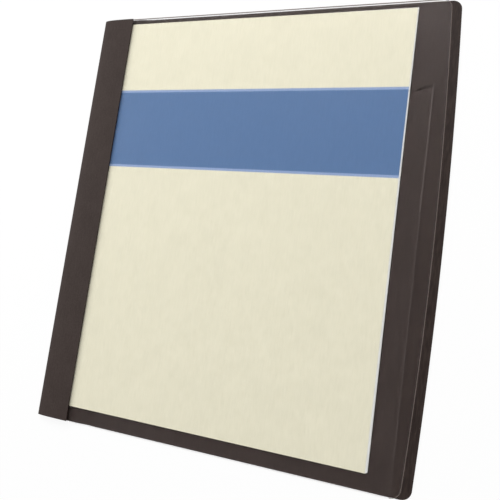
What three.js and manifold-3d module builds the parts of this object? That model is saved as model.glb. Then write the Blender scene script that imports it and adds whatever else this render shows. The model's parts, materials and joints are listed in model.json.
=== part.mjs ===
// A clear-front report cover for letter paper, lying shut on its back.
//
// Millimetres. X runs from the spine to the fore edge, Y up the page and Z up from the desk.
// While the pieces are made, x = 0 is the mouth of the spine clip, y = 0 is the bottom of the
// title page and z = 0 is the desk. The last group moves the origin to the middle of the footprint.

import * as THREE from "three";
import * as BufferGeometryUtils from "three/addons/utils/BufferGeometryUtils.js";
import Module from "manifold-3d";

const wasm = await Module();
wasm.setup();

// Paper
const PAGE_WIDTH = 215.9;
const PAGE_HEIGHT = 279.4;
const PAGE_HELD = 10.4; // width of the page inside the clip
const TITLE_THICK = 0.12;
const SHEET_THICK = 0.1;
const SHEET_COUNT = 3; // white sheets behind the title page
const SHEET_SHIFT = 0.73; // each sheet behind lies this much further out
const SHEET_SKEW = THREE.MathUtils.degToRad(0.1); // and is turned by this much more

// Covers
const COVER_HEIGHT = 293.8;
const FOOT_MARGIN = 10.4; // cover below the page
const BACK_REACH = 233.3; // from the clip's mouth to the furthest point of the fore edge
const BACK_BOW = 3.3; // bulge of the fore edge over its whole height
const BACK_CORNER = 6;
const BACK_THICK = 0.5;
const CLEAR_REACH = 228.4;
const CLEAR_BOW = 4;
const CLEAR_CORNER = 6;
const CLEAR_THICK = 0.3;
const HEAD_CORNER = 3; // spine corner at the clip's free end
const CLEAR_INSET = 3; // the clear front starts this far in from the fold

// Folded spine of the back cover
const FOLD_RADIUS = 0.3; // to the middle of the sheet
const MOUTH_LEAD = 3.5; // the back cover stays level this far past the clip's mouth
const SETTLE_RUN = 12.5; // and comes down to the desk over this length

// Inside pocket
const POCKET_THICK = 0.4;
const POCKET_LIFT = 0.25;
const POCKET_START = 19; // from the clip's mouth
const POCKET_REACH = 219;
const POCKET_HIGH = 230.5; // top of the slanted mouth, above the foot of the page
const POCKET_SLANT = THREE.MathUtils.degToRad(20.6);
const WELD_WIDTH = 3;

// Spine clip
const CLIP_WIDTH = 26.4;
const CLIP_HEIGHT = 4.4; // at the mouth
const CLIP_WALL = 0.8;
const CLIP_INSET = 0.2; // the clip ends this far in from the covers' foot and head
const CROWN_RUN = 11; // the front stays nearly level over this length
const SHOULDER_HEIGHT = 4.6; // height that pulls the shoulder round
const WAIST_HEIGHT = 1.8; // where the spine is widest
const HEEL_RADIUS = 1.6;
const LIP_CHAMFER = 0.25;

// Pivot
const PIVOT_INSET = 14.2; // from the clip's mouth
const PIVOT_RISE = 5; // above the foot of the covers
const SHANK_RADIUS = 1.2;
const HEAD_RADIUS = 2.7;
const HEAD_THICK = 0.3;
const HEAD_SINK = 0.05; // the head lies this deep in the clip's underside
const CAP_RADIUS = 2.4; // of the upset end, on the back cover
const CAP_THICK = 0.45;
const HEAD_ROUND = 0.12;
const NOTCH_RISE = 3; // the flap and the clear front are cut away this far past the pivot

// Score lines, on which the sheets turn
const CLEAR_SCORE = 7; // from the clip's mouth
const TITLE_SCORE = 9.5;
const SCORE_STEP = 1; // each white sheet turns this much further out
const SCORE_RISE = 0.15; // a sheet folds about a line this far above its face

// Clearances
const SLIDE_GAP = 0.2; // clip to covers
const SHEET_GAP = 0.2; // sheet to sheet in the clip
const EDGE_GAP = 0.2; // sheet to sheet at the fore edge
const WELD_GAP = 0.1;
const SCORE_GAP = 0.5; // width of the cut on a score line
const STOP_GAP = 0.4; // page to the flap that stops it
const PIN_GAP = 0.3;
const CLEAR_LIFT = 0.2; // air under the clear front in the clip

const CURVE_STEPS = 16; // steps in half a turn
const SAME_PLACE = 1e-5; // corners this close are one
const BEYOND = 20; // cutters reach this far past what they cut

// Heights that follow from the thicknesses
const backLow = CLIP_WALL + SLIDE_GAP;
const backTop = backLow + BACK_THICK;
const sheetLow = (k) => backTop + SHEET_GAP + k * (SHEET_THICK + SHEET_GAP); // k = 0 is the last
const titleLow = sheetLow(SHEET_COUNT);
const clearLow = titleLow + TITLE_THICK + CLEAR_LIFT;
const pocketTop = BACK_THICK + POCKET_LIFT + POCKET_THICK;
const edgeLow = (k) => pocketTop + EDGE_GAP + k * (SHEET_THICK + EDGE_GAP);
const clearEdgeLow = edgeLow(SHEET_COUNT) + TITLE_THICK + EDGE_GAP;
const foldTop = backTop + 2 * FOLD_RADIUS;

// Places that follow from the widths
const coverLow = -FOOT_MARGIN;
const coverTop = coverLow + COVER_HEIGHT;
const clipLow = coverLow + CLIP_INSET;
const clipTop = coverTop - CLIP_INSET;
const spineEdge = -CLIP_WIDTH + CLIP_WALL + SLIDE_GAP;
const foldX = spineEdge + BACK_THICK / 2 + FOLD_RADIUS;
const clearStart = foldX + CLEAR_INSET;
const flapEnd = -PAGE_HELD - STOP_GAP;
const pageEdge = PAGE_WIDTH - PAGE_HELD;

// Underside of the clear front: it climbs from the fold to the pages and is level over them.
const clearSlope = (clearLow - foldTop - WELD_GAP) / (flapEnd - foldX);
const clearUnder = (x) => clearLow + clearSlope * Math.min(x - flapEnd, 0);

const poly = { roughness: 0.55, metalness: 0 };
const paper = { roughness: 0.85, metalness: 0 };
const materials = {
  clip: new THREE.MeshStandardMaterial({ color: 0x49413e, ...poly }),
  back: new THREE.MeshStandardMaterial({ color: 0x3b3432, ...poly }),
  pocket: new THREE.MeshStandardMaterial({ color: 0x4a413e, ...poly }),
  rivet: new THREE.MeshStandardMaterial({ color: 0x2c2827, roughness: 0.45, metalness: 0 }),
  title: new THREE.MeshStandardMaterial({ color: 0xe5dfcb, ...paper }),
  sheet: new THREE.MeshStandardMaterial({ color: 0xf2f2f0, ...paper }),
  clear: new THREE.MeshStandardMaterial({
    color: 0xf4f6f7, roughness: 0.12, metalness: 0, transparent: true, opacity: 0.25,
  }),
};

// A closed geometry as a solid that can be cut and joined.
function solidOf(geometry) {
  const bare = geometry.clone();
  bare.deleteAttribute("normal");
  bare.deleteAttribute("uv");
  const merged = BufferGeometryUtils.mergeVertices(bare, SAME_PLACE);
  return new wasm.Manifold(new wasm.Mesh({
    numProp: 3,
    vertProperties: new Float32Array(merged.attributes.position.array),
    triVerts: new Uint32Array(merged.index.array),
  }));
}

function geometryOf(solid) {
  const { vertProperties, triVerts } = solid.getMesh();
  const geometry = new THREE.BufferGeometry();
  geometry.setAttribute("position", new THREE.BufferAttribute(vertProperties, 3));
  geometry.setIndex(new THREE.BufferAttribute(triVerts, 1));
  geometry.computeVertexNormals();
  return geometry;
}

// A profile drawn in X and Z, drawn out along the spine from yLow to yHigh.
function alongSpine(points, yLow, yHigh) {
  const geometry = new THREE.ExtrudeGeometry(new THREE.Shape(points), {
    depth: yHigh - yLow, bevelEnabled: false,
  });
  geometry.rotateX(Math.PI / 2);
  geometry.translate(0, yHigh, 0);
  return solidOf(geometry);
}

// An outline drawn in X and Y, as a plate from zLow to zHigh.
function plate(outline, zLow, zHigh) {
  const geometry = new THREE.ExtrudeGeometry(new THREE.Shape(outline), {
    depth: zHigh - zLow, bevelEnabled: false,
  });
  geometry.translate(0, 0, zLow);
  return solidOf(geometry);
}

// Everything between two places along X, over the whole height of the part.
function band(xLow, xHigh) {
  const [depth, height] = [COVER_HEIGHT + 2 * BEYOND, CLIP_HEIGHT + 2 * BEYOND];
  const geometry = new THREE.BoxGeometry(xHigh - xLow, depth, height);
  geometry.translate((xLow + xHigh) / 2, (coverLow + coverTop) / 2, CLIP_HEIGHT / 2);
  return solidOf(geometry);
}

// A round pin on the pivot's axis.
function pivotPin(radius, zLow, zHigh) {
  const geometry = new THREE.CylinderGeometry(radius, radius, zHigh - zLow, 2 * CURVE_STEPS);
  geometry.rotateX(Math.PI / 2);
  geometry.translate(pivot.x, pivot.y, (zLow + zHigh) / 2);
  return solidOf(geometry);
}

// The path moved to its left by a distance, or to its right where the distance is negative.
function offsetPath(path, distance) {
  return path.map((point, i) => {
    const before = path[Math.max(i - 1, 0)];
    const after = path[Math.min(i + 1, path.length - 1)];
    const along = after.clone().sub(before).normalize();
    return new THREE.Vector2(point.x - along.y * distance, point.y + along.x * distance);
  });
}

// The closed profile of a sheet that is bent along a path.
function bentSheet(path, thickness) {
  return [...offsetPath(path, -thickness / 2), ...offsetPath(path, thickness / 2).reverse()];
}

function arc(cx, cy, radius, from, to, steps) {
  return new THREE.EllipseCurve(cx, cy, radius, radius, from, to, to < from).getPoints(steps);
}

// Section of the clip, from the front lip over the shoulder and the heel to the back lip. The front
// falls towards the spine, because the paper holds the clip's mouth open.
const clipOuter = [
  ...new THREE.CubicBezierCurve(
    new THREE.Vector2(0, CLIP_HEIGHT),
    new THREE.Vector2(-CROWN_RUN, CLIP_HEIGHT),
    new THREE.Vector2(-CLIP_WIDTH, SHOULDER_HEIGHT),
    new THREE.Vector2(-CLIP_WIDTH, WAIST_HEIGHT),
  ).getPoints(2 * CURVE_STEPS),
  ...arc(-CLIP_WIDTH + HEEL_RADIUS, HEEL_RADIUS, HEEL_RADIUS, Math.PI, 1.5 * Math.PI, CURVE_STEPS / 2),
  new THREE.Vector2(0, 0),
];
const clipInner = offsetPath(clipOuter, CLIP_WALL);

const pivot = new THREE.Vector2(-PIVOT_INSET, coverLow + PIVOT_RISE);

// A block over the covers' spine corner at the foot, up to a corner of its own.
function footBlock(right, top, zLow) {
  const [left, low] = [-CLIP_WIDTH, coverLow - BEYOND];
  const corner = [[left, low], [right, low], [right, top], [left, top]];
  return plate(corner.map(([x, y]) => new THREE.Vector2(x, y)), zLow, CLIP_HEIGHT);
}

// The covers' corner is cut round the pivot, so that the clip's web clears it as the clip swings.
function pivotCorner() {
  return footBlock(pivot.x, pivot.y, -BEYOND).subtract(pivotPin(PIVOT_RISE, -BEYOND, CLIP_HEIGHT));
}

// The flap and the clear front, which lie higher, are notched all round the pivot, out to where the
// clip's foot reaches as it swings. Only the back is riveted.
function pivotNotch() {
  const floor = backTop - BACK_THICK / 2 + FOLD_RADIUS;
  return footBlock(pivot.x + PIVOT_RISE + SLIDE_GAP, pivot.y + NOTCH_RISE, floor);
}

// Outline of a cover from its spine to its bowed fore edge. The fore edge is one arc, and each outer
// corner is an arc that touches it and the level edge.
function coverOutline(left, reach, bow, corner) {
  const half = COVER_HEIGHT / 2;
  const bowRadius = (half * half + bow * bow) / (2 * bow);
  const bowX = reach - bowRadius;
  const rise = half - corner;
  const cornerX = bowX + Math.sqrt((bowRadius - corner) ** 2 - rise ** 2);
  const turn = Math.atan2(rise, cornerX - bowX);
  const quarter = Math.PI / 2;
  const steps = CURVE_STEPS / 2;
  return [
    ...arc(cornerX, coverLow + corner, corner, -quarter, -turn, steps),
    ...arc(bowX, coverLow + half, bowRadius, -turn, turn, 2 * CURVE_STEPS).slice(1, -1),
    ...arc(cornerX, coverTop - corner, corner, turn, quarter, steps),
    ...arc(left + HEAD_CORNER, coverTop - HEAD_CORNER, HEAD_CORNER, quarter, 2 * quarter, steps),
    new THREE.Vector2(left, coverLow),
  ];
}

function makeClip() {
  const section = [
    new THREE.Vector2(0, CLIP_HEIGHT - LIP_CHAMFER),
    new THREE.Vector2(-LIP_CHAMFER, CLIP_HEIGHT),
    ...clipOuter.slice(1, -1),
    new THREE.Vector2(-LIP_CHAMFER, 0),
    new THREE.Vector2(0, LIP_CHAMFER),
    ...clipInner.toReversed(),
  ];
  const sinkTop = HEAD_SINK + HEAD_THICK + WELD_GAP;
  return alongSpine(section, clipLow, clipTop)
    .subtract(pivotPin(HEAD_RADIUS + PIN_GAP, -BEYOND, sinkTop))
    .subtract(pivotPin(SHANK_RADIUS + PIN_GAP, -BEYOND, backLow));
}

// A flat-headed rivet, pushed from below through the clip's back flange and the back cover, on which
// its end is upset to a second head.
function makeRivet() {
  const headTop = HEAD_SINK + HEAD_THICK;
  const capLow = backTop + WELD_GAP;
  const capTop = capLow + CAP_THICK;
  const profile = [
    [0, HEAD_SINK], [HEAD_RADIUS - HEAD_ROUND, HEAD_SINK], [HEAD_RADIUS, HEAD_SINK + HEAD_ROUND],
    [HEAD_RADIUS, headTop], [SHANK_RADIUS, headTop], [SHANK_RADIUS, capLow], [CAP_RADIUS, capLow],
    [CAP_RADIUS, capTop - HEAD_ROUND], [CAP_RADIUS - HEAD_ROUND, capTop], [0, capTop],
  ].map(([x, y]) => new THREE.Vector2(x, y));
  const geometry = new THREE.LatheGeometry(profile, 2 * CURVE_STEPS);
  geometry.rotateX(Math.PI / 2);
  geometry.translate(pivot.x, pivot.y, 0);
  return solidOf(geometry);
}

// One sheet: a narrow flap under the clear front, the folded spine, and the back itself, which comes
// down to the desk past the clip.
function makeBackCover() {
  const middle = backLow + BACK_THICK / 2;
  const flapMiddle = (x) => clearUnder(x) - WELD_GAP - BACK_THICK / 2;
  const fold = arc(foldX, middle + FOLD_RADIUS, FOLD_RADIUS, Math.PI / 2, 1.5 * Math.PI, CURVE_STEPS / 2);
  const settle = Array.from({ length: CURVE_STEPS + 1 }, (_, i) => {
    const along = i / CURVE_STEPS;
    const fall = (backLow * (1 - Math.cos(Math.PI * along))) / 2;
    return new THREE.Vector2(MOUTH_LEAD + SETTLE_RUN * along, middle - fall);
  });
  const path = [
    new THREE.Vector2(flapEnd, flapMiddle(flapEnd)),
    ...fold,
    ...settle,
    new THREE.Vector2(BACK_REACH + BEYOND, BACK_THICK / 2),
  ];
  const outline = coverOutline(spineEdge, BACK_REACH, BACK_BOW, BACK_CORNER);
  return alongSpine(bentSheet(path, BACK_THICK), coverLow - BEYOND, coverTop + BEYOND)
    .intersect(plate(outline, -BEYOND, CLIP_HEIGHT))
    .subtract(pivotCorner())
    .subtract(pivotNotch())
    .subtract(pivotPin(SHANK_RADIUS + PIN_GAP, -BEYOND, CLIP_HEIGHT));
}

// A panel that stands off the back cover on a narrow welded rim along its foot and both sides.
function makePocket() {
  const lowHigh = POCKET_HIGH - (POCKET_REACH - POCKET_START) * Math.tan(POCKET_SLANT);
  const outline = [
    new THREE.Vector2(POCKET_START, coverLow), new THREE.Vector2(POCKET_REACH, coverLow),
    new THREE.Vector2(POCKET_REACH, POCKET_HIGH), new THREE.Vector2(POCKET_START, lowHigh),
  ];
  const [inLeft, inRight] = [POCKET_START + WELD_WIDTH, POCKET_REACH - WELD_WIDTH];
  const inside = [
    new THREE.Vector2(inLeft, coverLow + WELD_WIDTH), new THREE.Vector2(inRight, coverLow + WELD_WIDTH),
    new THREE.Vector2(inRight, POCKET_HIGH + BEYOND), new THREE.Vector2(inLeft, POCKET_HIGH + BEYOND),
  ];
  const panelLow = BACK_THICK + POCKET_LIFT;
  return plate(outline, BACK_THICK + WELD_GAP, panelLow + POCKET_THICK)
    .subtract(plate(inside, 0, panelLow));
}

// A sheet of the bundle: its outline is turned about its foot at the spine and shifted out.
function pageOutline(shift, skew) {
  const corner = new THREE.Vector2(-PAGE_HELD + shift, 0);
  const corners = [[0, 0], [PAGE_WIDTH, 0], [PAGE_WIDTH, PAGE_HEIGHT], [0, PAGE_HEIGHT]];
  return corners.map(([x, y]) => new THREE.Vector2(x, y).rotateAround(new THREE.Vector2(), skew).add(corner));
}

const part = new THREE.Group();
part.position.set((CLIP_WIDTH - BACK_REACH) / 2, -(clipLow + clipTop) / 2, 0);

function addNode(name, solid, material, parent = part) {
  const mesh = new THREE.Mesh(geometryOf(solid), material.clone());
  mesh.name = name;
  parent.add(mesh);
}

// A sheet is held in the clip by its margin and turns on its score line. The leaf falls from there to
// its own height at the fore edge, so it hangs in a group that is turned about the score line.
function addTurningSheet(name, marginName, margin, outline, thickness, score, low, edge, reach, material) {
  addNode(marginName, margin.intersect(band(-CLIP_WIDTH, score - SCORE_GAP / 2)), material);
  const hinge = new THREE.Group();
  hinge.position.set(score, 0, low + thickness + SCORE_RISE);
  hinge.rotation.y = Math.atan2(low - edge, reach - score);
  part.add(hinge);
  const leaf = plate(outline, -SCORE_RISE - thickness, -SCORE_RISE)
    .intersect(band(score + SCORE_GAP / 2, BACK_REACH + BEYOND))
    .translate([-score, 0, 0]);
  addNode(name, leaf, material, hinge);
}

addNode("spine_clip", makeClip(), materials.clip);
addNode("pivot_rivet", makeRivet(), materials.rivet);
addNode("back_cover", makeBackCover(), materials.back);
addNode("inside_pocket", makePocket(), materials.pocket);

for (let k = 0; k < SHEET_COUNT; k += 1) {
  const behind = SHEET_COUNT - k; // 1 lies right behind the title page
  const outline = pageOutline(behind * SHEET_SHIFT, behind * SHEET_SKEW);
  addTurningSheet(`sheet_${behind}`, `sheet_${behind}_margin`,
    plate(outline, sheetLow(k), sheetLow(k) + SHEET_THICK), outline, SHEET_THICK,
    TITLE_SCORE + behind * SCORE_STEP, sheetLow(k), edgeLow(k), pageEdge, materials.sheet);
}

const titleOutline = pageOutline(0, 0);
addTurningSheet("title_page", "title_page_margin",
  plate(titleOutline, titleLow, titleLow + TITLE_THICK), titleOutline, TITLE_THICK,
  TITLE_SCORE, titleLow, edgeLow(SHEET_COUNT), pageEdge, materials.title);

const clearOutline = coverOutline(clearStart, CLEAR_REACH, CLEAR_BOW, CLEAR_CORNER);
const clearPath = [clearStart - BEYOND, flapEnd, CLEAR_SCORE].map(
  (x) => new THREE.Vector2(x, clearUnder(x) + CLEAR_THICK / 2));
const clearMargin = alongSpine(bentSheet(clearPath, CLEAR_THICK), coverLow - BEYOND, coverTop + BEYOND)
  .intersect(plate(clearOutline, 0, CLIP_HEIGHT))
  .subtract(pivotNotch());
addTurningSheet("clear_front", "clear_front_margin", clearMargin, clearOutline, CLEAR_THICK,
  CLEAR_SCORE, clearLow, clearEdgeLow, CLEAR_REACH, materials.clear);

export default part;
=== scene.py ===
"""Looks of the clear-front report cover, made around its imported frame. Metres."""

import json
import math

import bpy
import numpy as np
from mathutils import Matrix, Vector


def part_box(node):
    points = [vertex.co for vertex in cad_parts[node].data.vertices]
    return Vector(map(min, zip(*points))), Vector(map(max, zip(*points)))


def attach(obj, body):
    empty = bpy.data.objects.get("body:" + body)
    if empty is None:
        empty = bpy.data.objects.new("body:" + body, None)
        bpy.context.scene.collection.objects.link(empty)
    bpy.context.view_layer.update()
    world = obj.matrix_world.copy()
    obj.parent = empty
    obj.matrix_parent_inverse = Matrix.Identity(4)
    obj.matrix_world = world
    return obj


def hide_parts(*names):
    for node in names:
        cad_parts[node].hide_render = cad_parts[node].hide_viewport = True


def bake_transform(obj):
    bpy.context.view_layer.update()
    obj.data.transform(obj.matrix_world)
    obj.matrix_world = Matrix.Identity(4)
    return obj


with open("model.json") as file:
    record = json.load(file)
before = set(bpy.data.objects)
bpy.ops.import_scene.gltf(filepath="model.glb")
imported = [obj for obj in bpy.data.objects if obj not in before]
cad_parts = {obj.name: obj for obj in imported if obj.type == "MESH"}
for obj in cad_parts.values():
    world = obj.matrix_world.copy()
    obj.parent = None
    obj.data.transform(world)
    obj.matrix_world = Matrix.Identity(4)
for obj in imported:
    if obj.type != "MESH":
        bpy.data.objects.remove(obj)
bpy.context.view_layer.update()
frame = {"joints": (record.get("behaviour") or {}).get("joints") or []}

# Back cover. One dark brown poly sheet, rolled once at the spine: a narrow flap comes back over the
# fold for the clear front to be welded on, and the sheet drops to the desk just past the clip.
# Its outer corners are die-cut round and its fore edge is cut to a slow bow.

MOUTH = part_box("spine_clip")[1].x
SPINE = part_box("back_cover")[0].x
CLIP_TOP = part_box("spine_clip")[1].z
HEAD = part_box("back_cover")[1].y
BACK_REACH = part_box("back_cover")[1].x
BACK_BOW = 0.0033
CORNER = 0.006
SPINE_CORNER = 0.003
BACK_THICK = 0.0005
BACK_HELD = 0.00125  # height of the sheet's middle in the clip
FOLD_RADIUS = 0.0003
FLAP_END = MOUTH - 0.0108
FLAP_HIGH = 0.00257  # height of the flap's middle at its end
LEAD = 0.0035  # the sheet stays level this far past the clip's mouth
SETTLE = 0.0125  # and comes down to the desk over this length
PIVOT = np.array([MOUTH - 0.0142, (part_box("pivot_rivet")[0].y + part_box("pivot_rivet")[1].y) / 2])
PIVOT_CUT = PIVOT[1] + HEAD
PIVOT_HOLE = 0.0015
NOTCH_REACH = PIVOT_CUT + 0.0002, 0.003  # the flap's notch, past the pivot
PAST = 0.001  # cuts run this far out of what they cut
SIDES = 48  # of each round hole, and of the rivet


def fore_edge(y, reach, bow):
    """How far a cover reaches at height y: an arc that bulges by bow over the whole height, and at
    each end a corner arc that touches both it and the level edge."""
    radius = (HEAD**2 + bow**2) / (2 * bow)
    centre = reach - radius
    rise = HEAD - CORNER
    corner_x = centre + math.sqrt((radius - CORNER) ** 2 - rise**2)
    bulge = centre + np.sqrt(radius**2 - y**2)
    over = np.clip((np.abs(y) - rise) / CORNER, 0, 1)
    touch = rise / (radius - CORNER)
    return np.where(over < touch, bulge, corner_x + CORNER * np.sqrt(1 - over**2))


def cover_plan(line_x, left, reach, bow):
    """Plan of a cover over its line of columns. Each row is stretched to the fore edge, and each column
    to the foot and head, which the pivot's cut-out and the round head corner bring in near the spine."""
    ends = CORNER * (1 - np.cos(np.linspace(0, math.pi / 2, 15)))
    middle = np.linspace(-HEAD + CORNER, HEAD - CORNER, 97)[1:-1]
    rows = np.concatenate([-HEAD + ends, middle, HEAD - ends[::-1]])
    stretched = np.maximum(line_x - MOUTH, 0)[:, None] / (reach - MOUTH)
    x = line_x[:, None] + stretched * (fore_edge(rows, reach, bow) - reach)[None, :]
    out = np.clip(PIVOT[0] - line_x, 0, PIVOT_CUT)
    foot = np.where(line_x < PIVOT[0], PIVOT[1] - np.sqrt(PIVOT_CUT**2 - out**2), -HEAD)
    short = np.clip(left + SPINE_CORNER - line_x, 0, SPINE_CORNER)
    head = HEAD - SPINE_CORNER + np.sqrt(SPINE_CORNER**2 - short**2)
    y = foot[:, None] + (head - foot)[:, None] * ((rows + HEAD) / (2 * HEAD))[None, :]
    return x, y


def bent(plan, line_z):
    """The middle points of a cover over its plan, with each column at its own height."""
    x, y = plan
    return np.stack([x, y, np.broadcast_to(line_z[:, None], x.shape)], axis=-1)


def spaced(start, end, step):
    """Even places from start to end, about a step apart."""
    return np.linspace(start, end, max(2, round(abs(end - start) / step) + 1))


def near_pivot(start):
    """Columns from start to the pivot, closer together where the arc of the cut-out is steep: there
    they lie at the cosines of even angles."""
    before = spaced(start, PIVOT[0] - PIVOT_CUT, 0.0008)[:-1]
    turn = np.linspace(0, math.pi / 2, 13)
    return np.concatenate([before, PIVOT[0] - PIVOT_CUT * np.cos(turn)])


def piece(name, points, faces, body):
    """A named mesh in the frame's own place, smooth but for its sharp edges, that rides on one body."""
    mesh = bpy.data.meshes.new(name)
    mesh.from_pydata(points.tolist(), [], faces)
    mesh.update()
    mesh.shade_smooth()
    mesh.set_sharp_from_angle(angle=math.radians(35))
    made = bpy.data.objects.new(name, mesh)
    bpy.context.scene.collection.objects.link(made)
    if body:
        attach(made, body)
    return made


def sheet(name, middle, thickness, body=None):
    """A closed sheet over a grid of middle points. Each side lies half the thickness out along the
    normal, which is the cross product of the grid's two directions, and four strips close the edges."""
    along, across = np.gradient(middle, axis=0), np.gradient(middle, axis=1)
    normal = np.cross(along, across)
    normal /= np.linalg.norm(normal, axis=2, keepdims=True)
    points = np.concatenate([(middle + normal * thickness / 2).reshape(-1, 3),
                             (middle - normal * thickness / 2).reshape(-1, 3)])
    n, m = middle.shape[:2]
    at = np.arange(n * m).reshape(n, m)
    quads = np.stack([at[:-1, :-1], at[1:, :-1], at[1:, 1:], at[:-1, 1:]], axis=-1).reshape(-1, 4)
    rim = np.concatenate([at[:-1, 0], at[-1, :-1], at[:0:-1, -1], at[0, :0:-1]])
    after = np.roll(rim, -1)
    strips = np.stack([rim, rim + n * m, after + n * m, after], axis=-1)
    return piece(name, points, np.concatenate([quads, quads[:, ::-1] + n * m, strips]).tolist(), body)


def soften(made, width, steps=2):
    """Rounds the cut edges, which a die or a guillotine never leaves quite sharp."""
    bevel = made.modifiers.new("cut edge", "BEVEL")
    bevel.width = width
    bevel.segments = steps
    bevel.limit_method = "ANGLE"
    bevel.angle_limit = math.radians(50)
    bevel.harden_normals = True


def cut_out(made, outline, low, high):
    """Cuts what lies inside an outline, drawn against the clock in x and y, from low to high."""
    n = len(outline)
    points = np.concatenate([np.column_stack([outline, np.full(n, z)]) for z in (low, high)])
    at = np.arange(n)
    after = np.roll(at, -1)
    side = np.column_stack([at, after, after + n, at + n]).tolist()
    bit = piece("bit", points, [*side, at[::-1].tolist(), (at + n).tolist()], None)
    cut = made.modifiers.new("hole", "BOOLEAN")
    cut.operation = "DIFFERENCE"
    cut.solver = "EXACT"
    cut.object = bit
    bpy.context.view_layer.update()
    drilled = bpy.data.meshes.new_from_object(made.evaluated_get(bpy.context.evaluated_depsgraph_get()))
    made.modifiers.clear()
    made.data = drilled
    bpy.data.objects.remove(bit)


def drill(made, radius, low, high):
    """Cuts a round hole on the pivot's axis."""
    turn = np.linspace(0, 2 * math.pi, SIDES, endpoint=False)
    cut_out(made, PIVOT + radius * np.stack([np.cos(turn), np.sin(turn)], axis=-1), low, high)


def notch(made, low, high):
    """Cuts the corner away all round the pivot, where the clip's foot comes by as it swings."""
    right, top = PIVOT + NOTCH_REACH
    left, foot = SPINE - PAST, -HEAD - PAST
    cut_out(made, np.array([[left, foot], [right, foot], [right, top], [left, top]]), low, high)


def colour(code):
    """A colour as read off a screen, such as 3b3432, in Blender's linear values."""
    parts = np.array([int(code[k:k + 2], 16) for k in (0, 2, 4)]) / 255
    linear = np.where(parts <= 0.04045, parts / 12.92, ((parts + 0.055) / 1.055) ** 2.4)
    return (*linear.tolist(), 1.0)


class Recipe:
    """A material's node tree, with its nodes added one call at a time."""

    def __init__(self, tree):
        self.tree = tree

    def add(self, kind, output=0, **inputs):
        """Adds a node. An input is named with _ for a space, and takes a value or a socket. A name
        that is no input sets a property of the node."""
        node = self.tree.nodes.new(kind)
        for name, value in inputs.items():
            wanted = name.replace("_", " ")
            socket = next((s for s in node.inputs if s.name == wanted and s.enabled), None)
            if socket is None:
                setattr(node, name, value)
            elif isinstance(value, bpy.types.NodeSocket):
                self.tree.links.new(value, socket)
            else:
                socket.default_value = value
        return node.outputs[output]


def group(name, inputs, outputs):
    """An empty node group with these sockets, and a recipe to fill it."""
    made = bpy.data.node_groups.new(name, "ShaderNodeTree")
    for kind, sockets in (("INPUT", inputs), ("OUTPUT", outputs)):
        for socket, kind_of_socket in sockets:
            made.interface.new_socket(socket, in_out=kind, socket_type=kind_of_socket)
    return made, Recipe(made), made.nodes.new("NodeGroupInput"), made.nodes.new("NodeGroupOutput")


def poly_grain():
    """The skin of calendered poly sheet: a fine pebble, and rolling streaks that run up the page."""
    made, recipe, given, out = group(
        "poly grain",
        [("Place", "NodeSocketVector"), ("Streaks", "NodeSocketFloat")],
        [("Shade", "NodeSocketFloat"), ("Height", "NodeSocketFloat")])
    drawn = recipe.add("ShaderNodeVectorMath", operation="MULTIPLY", Vector=given.outputs["Place"])
    drawn.node.inputs[1].default_value = (1.0, 0.12, 1.0)  # eight times as long up the page
    pebble = recipe.add("ShaderNodeTexNoise", Vector=given.outputs["Place"], Scale=1100.0, Detail=3.0,
                        Roughness=0.7)
    streak = recipe.add("ShaderNodeTexNoise", Vector=drawn, Scale=1150.0, Detail=1.0, Roughness=0.6)
    cloud = recipe.add("ShaderNodeTexNoise", Vector=given.outputs["Place"], Scale=70.0, Detail=3.0)
    grain = recipe.add("ShaderNodeMix", Factor=given.outputs["Streaks"], A=pebble, B=streak)
    recipe.tree.links.new(grain, out.inputs["Height"])
    shade = recipe.add("ShaderNodeMix", Factor=0.25, A=grain, B=cloud)
    recipe.tree.links.new(shade, out.inputs["Shade"])
    return made


POLY_GRAIN = poly_grain()
GRAIN_DEPTH = 0.00006


def grained(recipe, streaks):
    """Sets the poly's grain in a material, with its share of streaks."""
    grain = recipe.add("ShaderNodeGroup", node_tree=POLY_GRAIN).node
    grain.inputs["Streaks"].default_value = streaks
    recipe.tree.links.new(recipe.add("ShaderNodeTexCoord", output=3), grain.inputs["Place"])
    return grain


def between(recipe, share, dark, light):
    """A colour from dark to light, by a share that changes over the surface."""
    tint = recipe.add("ShaderNodeMix", output=2, data_type="RGBA", Factor=share)
    tint.node.inputs[6].default_value = dark
    tint.node.inputs[7].default_value = light
    return tint


def poly(name, dark, light, roughness, shine, streaks, relief):
    """Satin dyed poly. Its grain carries the colour from dark to light and lifts the surface a little."""
    made = bpy.data.materials.new(name)
    made.use_nodes = True
    recipe = Recipe(made.node_tree)
    skin = made.node_tree.nodes["Principled BSDF"]
    grain = grained(recipe, streaks)
    ramp = recipe.add("ShaderNodeMapRange", Value=grain.outputs["Shade"], From_Min=0.4, From_Max=0.6)
    made.node_tree.links.new(between(recipe, ramp, colour(dark), colour(light)), skin.inputs["Base Color"])
    dull = recipe.add("ShaderNodeMapRange", Value=grain.outputs["Shade"], From_Min=0.3, From_Max=0.7,
                      To_Min=roughness - 0.06, To_Max=roughness + 0.06)
    made.node_tree.links.new(dull, skin.inputs["Roughness"])
    bump = recipe.add("ShaderNodeBump", Strength=relief, Distance=GRAIN_DEPTH, Height=grain.outputs["Height"])
    made.node_tree.links.new(bump, skin.inputs["Normal"])
    skin.inputs["Specular IOR Level"].default_value = shine
    return made


def dress(made, material, slot, *nodes):
    """Gives a piece its material and hides the nodes of the solids it stands for; slot is not used."""
    made.data.materials.clear()
    made.data.materials.append(material)
    if nodes:
        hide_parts(*nodes)


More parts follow.
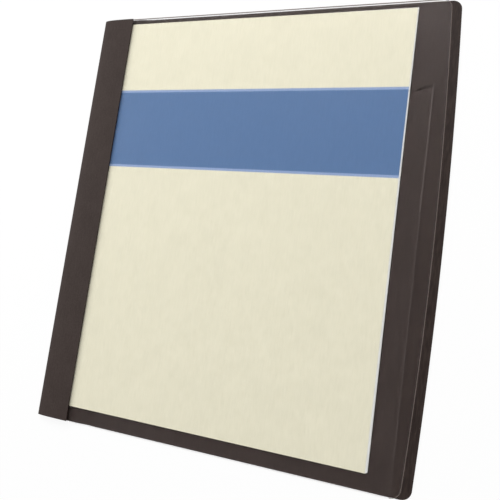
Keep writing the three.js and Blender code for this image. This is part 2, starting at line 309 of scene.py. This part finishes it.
def back_line():
    """The middle line of the back cover seen from its foot, as x and z: the flap, half a turn of the
    fold, level to just past the clip, half a cosine wave down to the desk, and level to the fore edge."""
    fold_x = SPINE + BACK_THICK / 2 + FOLD_RADIUS
    flap_x = near_pivot(fold_x)
    flap_x = np.concatenate([flap_x, spaced(PIVOT[0], FLAP_END, 0.0005)[1:]])[::-1]
    fold_top = BACK_HELD + 2 * FOLD_RADIUS
    flap_z = fold_top + (FLAP_HIGH - fold_top) * (flap_x - fold_x) / (FLAP_END - fold_x)
    turn = np.linspace(math.pi / 2, 1.5 * math.pi, 15)[1:-1]
    fold = fold_x + FOLD_RADIUS * np.cos(turn), BACK_HELD + FOLD_RADIUS * (1 + np.sin(turn))
    held_x = np.concatenate([near_pivot(fold_x), spaced(PIVOT[0], MOUTH + LEAD, 0.001)[1:]])
    share = np.linspace(0, 1, 25)[1:]
    fall = (BACK_HELD - BACK_THICK / 2) * (1 - np.cos(math.pi * share)) / 2
    flat_x = spaced(MOUTH + LEAD + SETTLE, BACK_REACH, 0.0025)[1:]
    x = np.concatenate([flap_x, fold[0], held_x, MOUTH + LEAD + SETTLE * share, flat_x])
    z = np.concatenate([flap_z, fold[1], np.full(len(held_x), BACK_HELD), BACK_HELD - fall,
                        np.full(len(flat_x), BACK_THICK / 2)])
    return x, z


line_x, line_z = back_line()
back = sheet("back_sheet", bent(cover_plan(line_x, SPINE, BACK_REACH, BACK_BOW), line_z), BACK_THICK, "cover")
notch(back, BACK_HELD + FOLD_RADIUS, CLIP_TOP)
drill(back, PIVOT_HOLE, 0, CLIP_TOP)
soften(back, 0.00011)
back_poly = poly("back poly", "261c19", "342a26", roughness=0.55, shine=0.14, streaks=0.8, relief=0.3)
dress(back, back_poly, "back_poly", "back_cover")

# Inside pocket. A second poly sheet, welded to the back cover along its foot and both sides; between
# the welds it stands a little off, and its slanted mouth is open at the top.

POCKET_THICK = 0.0004
POCKET_LIFT = 0.00015
POCKET_LOW, POCKET_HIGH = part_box("inside_pocket")
POCKET_SLANT = math.radians(20.6)
WELD = 0.003
WELD_DEPTH = 0.00005
WELD_SPREAD = 0.0005  # how wide the weld's groove is
LIFTED = 2.2 * WELD  # this far in from its edges the pocket has come off the back cover
FINE_SHARE = 0.03  # of the pocket's width and height, along its welds, where the grid is fine
LAST_ROW = 0.005  # and of its height, the one row of faces under its mouth
MOUTH_SHADE = 0.0013  # width of the painted shadow line under the open mouth
EDGE_HIGHLIGHT = 0.0008  # width of the painted highlight on the fore edge, at its top
EDGE_FADE = 0.0025  # and how much of it is lost per metre down the edge


def mouth_at(x):
    """How high the pocket's slanted mouth stands at x."""
    return POCKET_HIGH.y - (POCKET_HIGH.x - x) * math.tan(POCKET_SLANT)


def below_mouth(x, y):
    """How far a point lies below the mouth."""
    return mouth_at(x) - y


def inside_edge(x, y):
    """How far a point lies inside the pocket's fore edge, counted as more towards the foot, so that the
    painted highlight on that edge narrows towards the foot."""
    return POCKET_HIGH.x - x + EDGE_FADE * (POCKET_HIGH.y - y)


def eased(start, end, at):
    """0 before start and 1 after end. Between them it is three times the share squared, less twice
    the share cubed."""
    share = np.clip((at - start) / (end - start), 0, 1)
    return share * share * (3 - 2 * share)


def edge_of(made, material, inward, width):
    """Gives the faces that lie less than a width inside a sheet's cut edge a material of their own."""
    made.data.materials.append(material)
    centres = np.empty(3 * len(made.data.polygons))
    made.data.polygons.foreach_get("center", centres)
    x, y = centres.reshape(-1, 3)[:, :2].T
    index = np.empty(len(x), np.int32)
    made.data.polygons.foreach_get("material_index", index)
    index[inward(x, y) < width] = len(made.data.materials) - 1
    made.data.polygons.foreach_set("material_index", index)


# The sheet's columns rise from the foot to the mouth. Past its welds it lifts off by the eased share,
# and along the middle of each weld it sinks by a bell curve.

fine = np.linspace(0, FINE_SHARE, 16)
middle = np.linspace(FINE_SHARE, 1 - FINE_SHARE, 60)[1:-1]
across = np.concatenate([fine, middle, np.linspace(1 - FINE_SHARE, 1, 16)])
up = np.concatenate([fine, np.linspace(FINE_SHARE, 1 - LAST_ROW, 70)[1:], [1]])
x = (POCKET_LOW.x + (POCKET_HIGH.x - POCKET_LOW.x) * across)[:, None]
y = POCKET_LOW.y + (mouth_at(x) - POCKET_LOW.y) * up[None, :]
x = np.broadcast_to(x, y.shape)
inward = np.minimum(np.minimum(x - POCKET_LOW.x, POCKET_HIGH.x - x), y - POCKET_LOW.y)
groove = np.exp(-(((inward - WELD / 2) / WELD_SPREAD) ** 2))
lift = POCKET_LIFT * eased(WELD, LIFTED, inward) - WELD_DEPTH * groove
z = POCKET_LOW.z + POCKET_THICK / 2 + lift
pocket = sheet("pocket_sheet", np.stack([x, y, z], axis=-1), POCKET_THICK, "cover")
soften(pocket, 0.0001)
pocket_poly = poly("pocket poly", "2d2421", "3b312e", roughness=0.55, shine=0.14, streaks=0.8, relief=0.3)
dress(pocket, pocket_poly, "pocket_poly", "inside_pocket")
# Painted shadow: a near-black colour on the row of faces just under the open mouth.
painted_mouth_shadow = poly("pocket mouth", "0a0706", "0f0b09", roughness=0.55, shine=0.02, streaks=0.5, relief=0.2)
edge_of(pocket, painted_mouth_shadow, below_mouth, MOUTH_SHADE)
# Painted highlight: a paler colour along the pocket's fore edge, narrowing towards the foot.
painted_edge_highlight = poly("pocket cut edge", "4d433f", "584e4b", roughness=0.5, shine=0.2, streaks=0.3, relief=0.1)
edge_of(pocket, painted_edge_highlight, inside_edge, EDGE_HIGHLIGHT)

# Pages. A cream title page and white sheets behind it, all US letter size and cut clean. The clip holds
# them by a margin, from which each falls to its own height at the fore edge; those behind show past
# the title page because they lie a little further out and a little turned.

PAGE_WIDTH = 0.2159
PAGE_HEIGHT = 0.2794
PAGE_HELD = 0.0104  # width of the page in the clip
PUSHED_HOME = 0.00145  # and how much further in the pages are pushed
PAGE_LEFT = MOUTH - PAGE_HELD - PUSHED_HOME
PAGE_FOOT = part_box("title_page")[0].y
SHIFT = 0.00045  # each sheet behind lies this much further out
SKEW = math.radians(0.047)  # and is turned by this much more
CLOSE = 0.00017  # how much less each sheet falls than the one above it, so that they close up
TITLE_SKEW = math.radians(-0.1)
BEND = 0.0015  # half the width of the bend on a sheet's score line


def fall_from(score, x, slope):
    """The drop past a score line: nothing before it and the slope's after it, rounded over the bend."""
    past = np.clip(x - score + BEND, 0, 2 * BEND)
    return slope * (past**2 / (4 * BEND) + np.maximum(x - score - BEND, 0))


def score_of(joint):
    """Where a joint's score line lies."""
    return np.array(next(j for j in frame["joints"] if j["name"] == joint)["pos_m"])


def turning(made):
    """Bakes a sheet's placing into its mesh."""
    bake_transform(made)


def page(name, place, leaf, margin, joint, thickness):
    """A flat sheet of paper, turned about its foot at the spine and shifted by its place in the stack.
    It is level in the clip and falls evenly from its score line to the fore edge."""
    score = score_of(joint)[0]
    level = (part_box(margin)[0].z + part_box(margin)[1].z) / 2
    fall = max(0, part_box(leaf)[1].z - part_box(leaf)[0].z - thickness - place * CLOSE)
    slope = fall / (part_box(leaf)[1].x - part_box(leaf)[0].x)
    bend_from, bend_to = score - PAGE_LEFT - BEND, score - PAGE_LEFT + BEND
    u = np.concatenate([spaced(0, bend_from, 0.002), spaced(bend_from, bend_to, 0.00025)[1:],
                        spaced(bend_to, PAGE_WIDTH, 0.003)[1:]])[:, None]
    v = spaced(0, PAGE_HEIGHT, 0.003)[None, :]
    turn = TITLE_SKEW + place * SKEW
    x = PAGE_LEFT + place * SHIFT + u * math.cos(turn) - v * math.sin(turn)
    y = PAGE_FOOT + u * math.sin(turn) + v * math.cos(turn)
    made = sheet(name, np.stack([x, y, level - fall_from(score, x, slope)], axis=-1), thickness)
    turning(made)
    return made


def paper_fibre():
    """Uncoated paper: fibres in a felted tangle, with a slow cloud under them where the pulp is denser."""
    made, recipe, given, out = group(
        "paper fibre", [("Place", "NodeSocketVector")],
        [("Shade", "NodeSocketFloat"), ("Height", "NodeSocketFloat")])
    fibre = recipe.add("ShaderNodeTexNoise", Vector=given.outputs["Place"], Scale=3500.0, Detail=3.0,
                       Distortion=1.2)
    cloud = recipe.add("ShaderNodeTexNoise", Vector=given.outputs["Place"], Scale=260.0, Detail=4.0)
    recipe.tree.links.new(fibre, out.inputs["Height"])
    shade = recipe.add("ShaderNodeMix", Factor=0.5, A=fibre, B=cloud)
    recipe.tree.links.new(shade, out.inputs["Shade"])
    return made


PAPER_FIBRE = paper_fibre()


def paper(name, dark, light):
    """Matte paper between two near colours. Gives back its material, and with it the recipe, place,
    fibre, colour and shader that a printed page goes on from."""
    made = bpy.data.materials.new(name)
    made.use_nodes = True
    recipe = Recipe(made.node_tree)
    skin = made.node_tree.nodes["Principled BSDF"]
    place = recipe.add("ShaderNodeTexCoord", output=3)
    fibre = recipe.add("ShaderNodeGroup", node_tree=PAPER_FIBRE).node
    made.node_tree.links.new(place, fibre.inputs["Place"])
    ramp = recipe.add("ShaderNodeMapRange", Value=fibre.outputs["Shade"], From_Min=0.35, From_Max=0.65)
    tint = between(recipe, ramp, colour(dark), colour(light))
    made.node_tree.links.new(tint, skin.inputs["Base Color"])
    dull = recipe.add("ShaderNodeMapRange", Value=fibre.outputs["Shade"], From_Min=0.3, From_Max=0.7,
                      To_Min=0.8, To_Max=0.92)
    made.node_tree.links.new(dull, skin.inputs["Roughness"])
    bump = recipe.add("ShaderNodeBump", Strength=0.25, Distance=0.00003, Height=fibre.outputs["Height"])
    made.node_tree.links.new(bump, skin.inputs["Normal"])
    skin.inputs["Specular IOR Level"].default_value = 0.1
    return made, recipe, place, fibre, tint, skin


SHEET_THICK = 0.0001
white = paper("white paper", "f5f5f3", "fdfdfb")[0]
for place in (3, 2, 1):
    made = page(f"white_sheet_{place}", place, f"sheet_{place}", f"sheet_{place}_margin",
                f"leaf_{place}_turn", SHEET_THICK)
    dress(made, white, "white_paper", f"sheet_{place}", f"sheet_{place}_margin")

# The title page's printing. A plain blue band runs across the whole page between two light blue
# stripes; the ink sits in the fibres, so its edges are a little soft and its tone a little uneven.

TITLE_THICK = 0.00012
BAND_LOW, BAND_HIGH = PAGE_FOOT + 0.1712, PAGE_FOOT + 0.2283
STRIPE = 0.00175
INK_EDGE = 0.00012
INK_CREEP = 0.0003  # how far the fibres draw the ink's edge up and down

cream, recipe, place, fibre, stock, skin = paper("title paper", "ebe5cc", "f3edd5")
height = recipe.add("ShaderNodeSeparateXYZ", output=1, Vector=place)
uneven = recipe.add("ShaderNodeMath", operation="MULTIPLY_ADD")
uneven.node.inputs[1].default_value = INK_CREEP
recipe.tree.links.new(fibre.outputs["Shade"], uneven.node.inputs[0])
recipe.tree.links.new(height, uneven.node.inputs[2])


def printed(under, low, high, dark, light):
    """Prints a band from low to high over what is under it, in an ink that the fibres mottle. What it
    covers is a short rise at the lower edge times a short fall at the upper one."""
    rise = recipe.add("ShaderNodeMapRange", Value=uneven, From_Min=low - INK_EDGE, From_Max=low + INK_EDGE)
    fall = recipe.add("ShaderNodeMapRange", Value=uneven, From_Min=high - INK_EDGE,
                      From_Max=high + INK_EDGE, To_Min=1.0, To_Max=0.0)
    mask = recipe.add("ShaderNodeMath", operation="MULTIPLY")
    recipe.tree.links.new(rise, mask.node.inputs[0])
    recipe.tree.links.new(fall, mask.node.inputs[1])
    ink = between(recipe, fibre.outputs["Shade"], colour(dark), colour(light))
    over = recipe.add("ShaderNodeMix", output=2, data_type="RGBA", Factor=mask)
    recipe.tree.links.new(under, over.node.inputs[6])
    recipe.tree.links.new(ink, over.node.inputs[7])
    return over


banded = printed(stock, BAND_LOW, BAND_HIGH, "8fa3c9", "9bafd4")
banded = printed(banded, BAND_LOW + STRIPE, BAND_HIGH - STRIPE, "56759f", "6280ab")
recipe.tree.links.new(banded, skin.inputs["Base Color"])
title = page("title_sheet", 0, "title_page", "title_page_margin", "title_turn", TITLE_THICK)
dress(title, cream, "cream_paper", "title_page", "title_page_margin")

# Clear front. One thin clear sheet, welded to the back cover's flap in the clip and cut to its own
# bow. It turns on a score line beside the clip, and a pale rim along its cut edge is a painted highlight.

CLEAR_THICK = 0.0003
CLEAR_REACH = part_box("clear_front")[1].x
CLEAR_BOW = 0.004
CLEAR_BOW_IN = 0.0037  # how far the bow has drawn the edge in where the corner begins
RIM = 0.0003  # width of the painted highlight along the cut edge
HEAD_RIM = 0.5  # along the head, distance from the edge counts by this share, so the painted highlight is wider there
FILM_INDEX = 1.17  # low, so that the film shines as faintly as the photographed one
FILM_DULL, FILM_DULLEST = 0.277, 0.31  # any less and the render shows specks
FILM_SHEEN = (1, 0.8, 0.77, 1)  # tint of its shine, a little warm
FILM_VEIL = (0.93, 0.935, 0.935, 1)  # its colour in the darkest of its grain
FILM_SHADOW = (0.96, 0.965, 0.965, 1)  # what is left of light that comes to the page through it
CLEAR_LEFT, CLEAR_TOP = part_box("clear_front_margin")
CLEAR_SCORE = score_of("cover_turn")[0]
CLEAR_LEVEL = CLEAR_TOP.z - CLEAR_THICK / 2
CLEAR_FALL = ((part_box("clear_front")[1].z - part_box("clear_front")[0].z - CLEAR_THICK)
              / (CLEAR_REACH - CLEAR_SCORE))
CLEAR_CLIMB = (CLEAR_TOP.z - CLEAR_LEFT.z - CLEAR_THICK) / (FLAP_END - CLEAR_LEFT.x)

# Seen from the foot, the sheet climbs evenly along the flap, is level to its score line, bends there
# and falls evenly to the fore edge.

line_x = np.concatenate([
    near_pivot(CLEAR_LEFT.x),
    spaced(PIVOT[0], FLAP_END, 0.0005)[1:],
    spaced(FLAP_END, CLEAR_SCORE - BEND, 0.002)[1:],
    spaced(CLEAR_SCORE - BEND, CLEAR_SCORE + BEND, 0.00025)[1:],
    spaced(CLEAR_SCORE + BEND, CLEAR_REACH - CORNER, 0.003)[1:],
    spaced(CLEAR_REACH - CORNER, CLEAR_REACH - RIM, 0.0005)[1:],
    [CLEAR_REACH]])
climb = CLEAR_CLIMB * np.maximum(FLAP_END - line_x, 0)
line_z = CLEAR_LEVEL - fall_from(CLEAR_SCORE, line_x, CLEAR_FALL) - climb
plan = cover_plan(line_x, CLEAR_LEFT.x, CLEAR_REACH, CLEAR_BOW)
clear = sheet("clear_sheet", bent(plan, line_z), CLEAR_THICK)
notch(clear, 0, CLIP_TOP)
turning(clear)
soften(clear, 0.00008)


def either(recipe, one, other):
    """The larger of two shares."""
    larger = recipe.add("ShaderNodeMath", operation="MAXIMUM")
    recipe.tree.links.new(one, larger.node.inputs[0])
    recipe.tree.links.new(other, larger.node.inputs[1])
    return larger


def mixed(recipe, share, usual, other):
    """Ends a material in its usual shader, and in the other one by a share."""
    mix = recipe.add("ShaderNodeMixShader", Fac=share).node
    recipe.tree.links.new(usual, mix.inputs[1])
    recipe.tree.links.new(other, mix.inputs[2])
    recipe.tree.links.new(mix.outputs[0], recipe.tree.nodes["Material Output"].inputs["Surface"])


def clear_film():
    """Clear poly, which its grain dulls, veils and lifts a little. Light on its way to the page passes
    straight through, as it does in a thin flat film."""
    made = bpy.data.materials.new("clear film")
    made.use_nodes = True
    recipe = Recipe(made.node_tree)
    skin = made.node_tree.nodes["Principled BSDF"]
    skin.inputs["Transmission Weight"].default_value = 1.0
    skin.inputs["IOR"].default_value = FILM_INDEX
    skin.inputs["Specular Tint"].default_value = FILM_SHEEN
    grain = grained(recipe, 0.9)
    dull = recipe.add("ShaderNodeMapRange", Value=grain.outputs["Shade"], From_Min=0.35, From_Max=0.65,
                      To_Min=FILM_DULL, To_Max=FILM_DULLEST)
    made.node_tree.links.new(dull, skin.inputs["Roughness"])
    bump = recipe.add("ShaderNodeBump", Strength=0.9, Distance=GRAIN_DEPTH, Height=grain.outputs["Height"])
    made.node_tree.links.new(bump, skin.inputs["Normal"])
    veil = recipe.add("ShaderNodeMapRange", Value=grain.outputs["Shade"], From_Min=0.35, From_Max=0.65)
    made.node_tree.links.new(between(recipe, veil, FILM_VEIL, (1, 1, 1, 1)), skin.inputs["Base Color"])
    passed = recipe.add("ShaderNodeBsdfTransparent")
    passed.node.inputs["Color"].default_value = FILM_SHADOW
    path = recipe.add("ShaderNodeLightPath").node
    soft_light = either(recipe, path.outputs["Is Shadow Ray"], path.outputs["Is Diffuse Ray"])
    mixed(recipe, soft_light, skin.outputs["BSDF"], passed)
    return made


dress(clear, clear_film(), "clear_sheet", "clear_front", "clear_front_margin")


def clear_inward(x, y):
    """How far a point past the mouth lies inside the clear front's cut edge."""
    over = np.stack([x - (CLEAR_REACH - CLEAR_BOW_IN - CORNER), np.abs(y) - (HEAD - CORNER)])
    beside = np.minimum(fore_edge(y, CLEAR_REACH, CLEAR_BOW) - x, HEAD_RIM * (HEAD - y))
    return np.where((over > 0).all(axis=0), CORNER - np.hypot(*over), np.where(x > MOUTH, beside, 1))


# Painted highlight: a pale opaque colour on the faces along the clear sheet's cut edge.
painted_rim_highlight = poly("clear cut edge", "6f6460", "7c716d", roughness=0.5, shine=0.2, streaks=0.2, relief=0.1)
edge_of(clear, painted_rim_highlight, clear_inward, RIM)

# Spine clip. One length of stiff extruded channel, cut square: a nearly level front that falls to a
# round spine, and a flat back. It holds the covers and the pages, and swings away on its rivet.

CLIP_LOW, CLIP_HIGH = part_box("spine_clip")
LIP_IN = 0.0006  # the photograph has the foot of the lip this much further in than the solid's
CLIP_LIP = CLIP_HIGH.x - LIP_IN
CLIP_WIDTH = CLIP_LIP - CLIP_LOW.x
MOUTH_HEIGHT = 0.0044
CROWN_RUN = 0.011  # the front stays nearly level over this length
SHOULDER_HEIGHT = 0.0046
WAIST_HEIGHT = 0.0018
HEEL_RADIUS = 0.0016
WALL = 0.0008
RECESS_RADIUS = 0.003  # the rivet's head lies in a recess in the clip's underside
RECESS_DEPTH = 0.00045


def clip_section():
    """The clip's section as a closed loop of x and z. The front is a cubic curve from the lip to the
    waist and the heel a quarter circle; the inner line lies one wall inside, along the normal."""
    t = np.linspace(0, 1, 61)[:, None]
    ends = np.array([[0, MOUTH_HEIGHT], [-CROWN_RUN, MOUTH_HEIGHT], [-CLIP_WIDTH, SHOULDER_HEIGHT],
                     [-CLIP_WIDTH, WAIST_HEIGHT]])
    front = ((1 - t) ** 3 * ends[0] + 3 * (1 - t) ** 2 * t * ends[1]
             + 3 * (1 - t) * t**2 * ends[2] + t**3 * ends[3])
    turn = np.linspace(math.pi, 1.5 * math.pi, 13)[:, None]
    arc = 1 + np.concatenate([np.cos(turn), np.sin(turn)], axis=1)
    heel = np.array([-CLIP_WIDTH, 0]) + HEEL_RADIUS * arc
    back = np.stack([np.linspace(-CLIP_WIDTH + HEEL_RADIUS, 0, 30), np.zeros(30)], axis=-1)
    outer = np.concatenate([front, heel, back[1:]])
    step = np.gradient(outer, axis=0)
    step /= np.linalg.norm(step, axis=1, keepdims=True)
    inner = outer + WALL * np.stack([-step[:, 1], step[:, 0]], axis=-1)
    return np.concatenate([outer, inner[::-1]]) + (CLIP_LIP, 0)


# The section is carried straight along the clip, from its foot to its head.

section = clip_section()
rows = spaced(CLIP_LOW.y, CLIP_HIGH.y, 0.004)[:, None]
points = np.stack(np.broadcast_arrays(section[:, 0], rows, section[:, 1]), axis=-1).reshape(-1, 3)
at = np.arange(len(points)).reshape(len(rows), len(section))
after = np.roll(at, -1, axis=1)
walls = np.stack([at[:-1], at[1:], after[1:], after[:-1]], axis=-1).reshape(-1, 4).tolist()
clip = piece("clip_channel", points, [*walls, at[0].tolist(), at[-1, ::-1].tolist()], "clip")
drill(clip, RECESS_RADIUS, -PAST, RECESS_DEPTH)
drill(clip, PIVOT_HOLE, -PAST, WALL + PAST)
soften(clip, 0.0003, steps=4)
clip_plastic = poly("clip plastic", "382f2c", "413835", roughness=0.62, shine=0.08, streaks=0.3, relief=0.25)
dress(clip, clip_plastic, "clip_plastic", "spine_clip")

# Pivot rivet. A dark moulded stud with a wide flat head, pushed up through the clip's back and the
# back cover at its foot and upset there, so that the clip can swing out sideways.

HEAD_RADIUS = 0.0027
HEAD_THICK = 0.0003
HEAD_ROUND = 0.00012  # height of the round under the head; the one on top is half as high
SHANK_RADIUS = 0.0012
FILLET = 0.0002
CAP_RADIUS = 0.0024
CAP_THICK = 0.00045
CAP_ROUND = 0.0002
RIVET_LOW, RIVET_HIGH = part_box("pivot_rivet")[0].z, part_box("pivot_rivet")[1].z
HEAD_TOP = RIVET_LOW + HEAD_THICK
CAP_LOW = RIVET_HIGH - CAP_THICK

# The outline, as radius and height, goes from the underside up: the head with its two rounded edges,
# the shank with a fillet at its foot, and the cap with a wider round on top. It is turned about the
# pivot's axis, and a fan of triangles closes each end.

outline = np.array([
    [0.9 * HEAD_RADIUS, RIVET_LOW], [0.97 * HEAD_RADIUS, RIVET_LOW + HEAD_ROUND / 3],
    [HEAD_RADIUS, RIVET_LOW + HEAD_ROUND], [HEAD_RADIUS, HEAD_TOP - HEAD_ROUND / 2],
    [0.97 * HEAD_RADIUS, HEAD_TOP], [1.15 * SHANK_RADIUS, HEAD_TOP],
    [SHANK_RADIUS, HEAD_TOP + FILLET], [SHANK_RADIUS, CAP_LOW],
    [0.97 * CAP_RADIUS, CAP_LOW], [CAP_RADIUS, CAP_LOW + 0.4 * CAP_ROUND],
    [CAP_RADIUS, RIVET_HIGH - CAP_ROUND], [0.94 * CAP_RADIUS, RIVET_HIGH - 0.4 * CAP_ROUND],
    [0.8 * CAP_RADIUS, RIVET_HIGH]])
radius, height = outline.T[..., None]
turn = np.linspace(0, 2 * math.pi, SIDES, endpoint=False)
rings = np.broadcast_arrays(PIVOT[0] + radius * np.cos(turn), PIVOT[1] + radius * np.sin(turn), height)
points = np.stack(rings, axis=-1).reshape(-1, 3)
at = np.arange(len(points)).reshape(-1, SIDES)
after = np.roll(at, -1, axis=1)
walls = np.stack([at[:-1], after[:-1], after[1:], at[1:]], axis=-1).reshape(-1, 4).tolist()
low_fan = np.column_stack([after[0], at[0], np.full(SIDES, at.size)]).tolist()
high_fan = np.column_stack([at[-1], after[-1], np.full(SIDES, at.size + 1)]).tolist()
points = np.concatenate([points, [[*PIVOT, RIVET_LOW], [*PIVOT, RIVET_HIGH]]])
rivet = piece("rivet_stud", points, [*walls, *low_fan, *high_fan], "clip")
rivet_plastic = poly("rivet plastic", "242020", "302b2a", roughness=0.4, shine=0.4, streaks=0.1, relief=0.15)
dress(rivet, rivet_plastic, "rivet_plastic", "pivot_rivet")

# The table and its light. A pale floor that shows nearly white and keeps a little of the shadow that
# falls on it, three soft lamps beyond the cover's head and spine, and plain light from all round.

LAMP_AIM = np.array([0.0, 0.02, 0.0])
LAMP_SIZE = 0.6
FLOOR_HALF = 4
FLOOR_GLOW = 0.88  # share of plain white in what the floor shows
ROOM_LIGHT = 0.57


def lamp(name, place, power):
    """A square soft lamp at a place, turned to face the cover, with its power in watts."""
    light = bpy.data.lights.new(name, "AREA")
    light.shape = "SQUARE"
    light.size = LAMP_SIZE
    light.energy = power
    made = bpy.data.objects.new(name, light)
    bpy.context.scene.collection.objects.link(made)
    made.location = place
    made.rotation_euler = Vector(np.array(place) - LAMP_AIM).to_track_quat("Z", "Y").to_euler()
    return made


def shown(recipe):
    """1 for the rays that show the background: the camera's own, and those that gloss or a clear
    sheet sends on."""
    path = recipe.add("ShaderNodeLightPath").node
    through = either(recipe, path.outputs["Is Camera Ray"], path.outputs["Is Transmission Ray"])
    return either(recipe, path.outputs["Is Glossy Ray"], through)


def table_top():
    """Pale matt table. For the rays that show it, a share of plain white is laid over the lit surface,
    which keeps some of the cover's shadow."""
    made = bpy.data.materials.new("table")
    made.use_nodes = True
    recipe = Recipe(made.node_tree)
    skin = made.node_tree.nodes["Principled BSDF"]
    skin.inputs["Base Color"].default_value = (0.95, 0.95, 0.95, 1)
    skin.inputs["Roughness"].default_value = 0.9
    skin.inputs["Specular IOR Level"].default_value = 0.0
    plain_white = recipe.add("ShaderNodeEmission", Strength=1.0)
    glow = recipe.add("ShaderNodeMath", operation="MULTIPLY")
    made.node_tree.links.new(shown(recipe), glow.node.inputs[0])
    glow.node.inputs[1].default_value = FLOOR_GLOW
    mixed(recipe, glow, skin.outputs["BSDF"], plain_white)
    return made


def room():
    """Plain light from all round, which shows as white behind the table."""
    made = bpy.data.worlds.new("room")
    made.use_nodes = True
    recipe = Recipe(made.node_tree)
    sky = made.node_tree.nodes["Background"]
    level = recipe.add("ShaderNodeMapRange", Value=shown(recipe), To_Min=ROOM_LIGHT, To_Max=1.0)
    made.node_tree.links.new(level, sky.inputs["Strength"])
    sky.inputs["Color"].default_value = (1, 1, 1, 1)
    return made


lamp("key", (-0.45, 1.1, 0.9), power=6.8)
lamp("head", (0.05, 1.0, 0.9), power=4.6)
lamp("side", (-1.4, 0.35, 0.75), power=7.4)

corners = FLOOR_HALF * np.array([[-1, -1, 0], [1, -1, 0], [1, 1, 0], [-1, 1, 0]], float)
floor = piece("floor", corners, [[0, 1, 2, 3]], None)
floor.data.materials.append(table_top())
bpy.context.scene.world = room()

# The camera, at the photograph's place: 0.35 m above the desk, a little to the right of the cover
# and below its middle, with a field of 46 degrees.

camera = bpy.data.cameras.new("camera")
camera.lens = 42.494
camera.sensor_width = 36.0
camera.clip_start = 0.01
stand = bpy.data.objects.new("camera", camera)
stand.location = (0.15282, -0.05792, 0.35138)
stand.rotation_euler = [math.radians(a) for a in (9.3282, 20.7713, 8.4221)]
bpy.context.scene.collection.objects.link(stand)
bpy.context.scene.camera = stand
bpy.context.scene.view_settings.view_transform = "Standard"
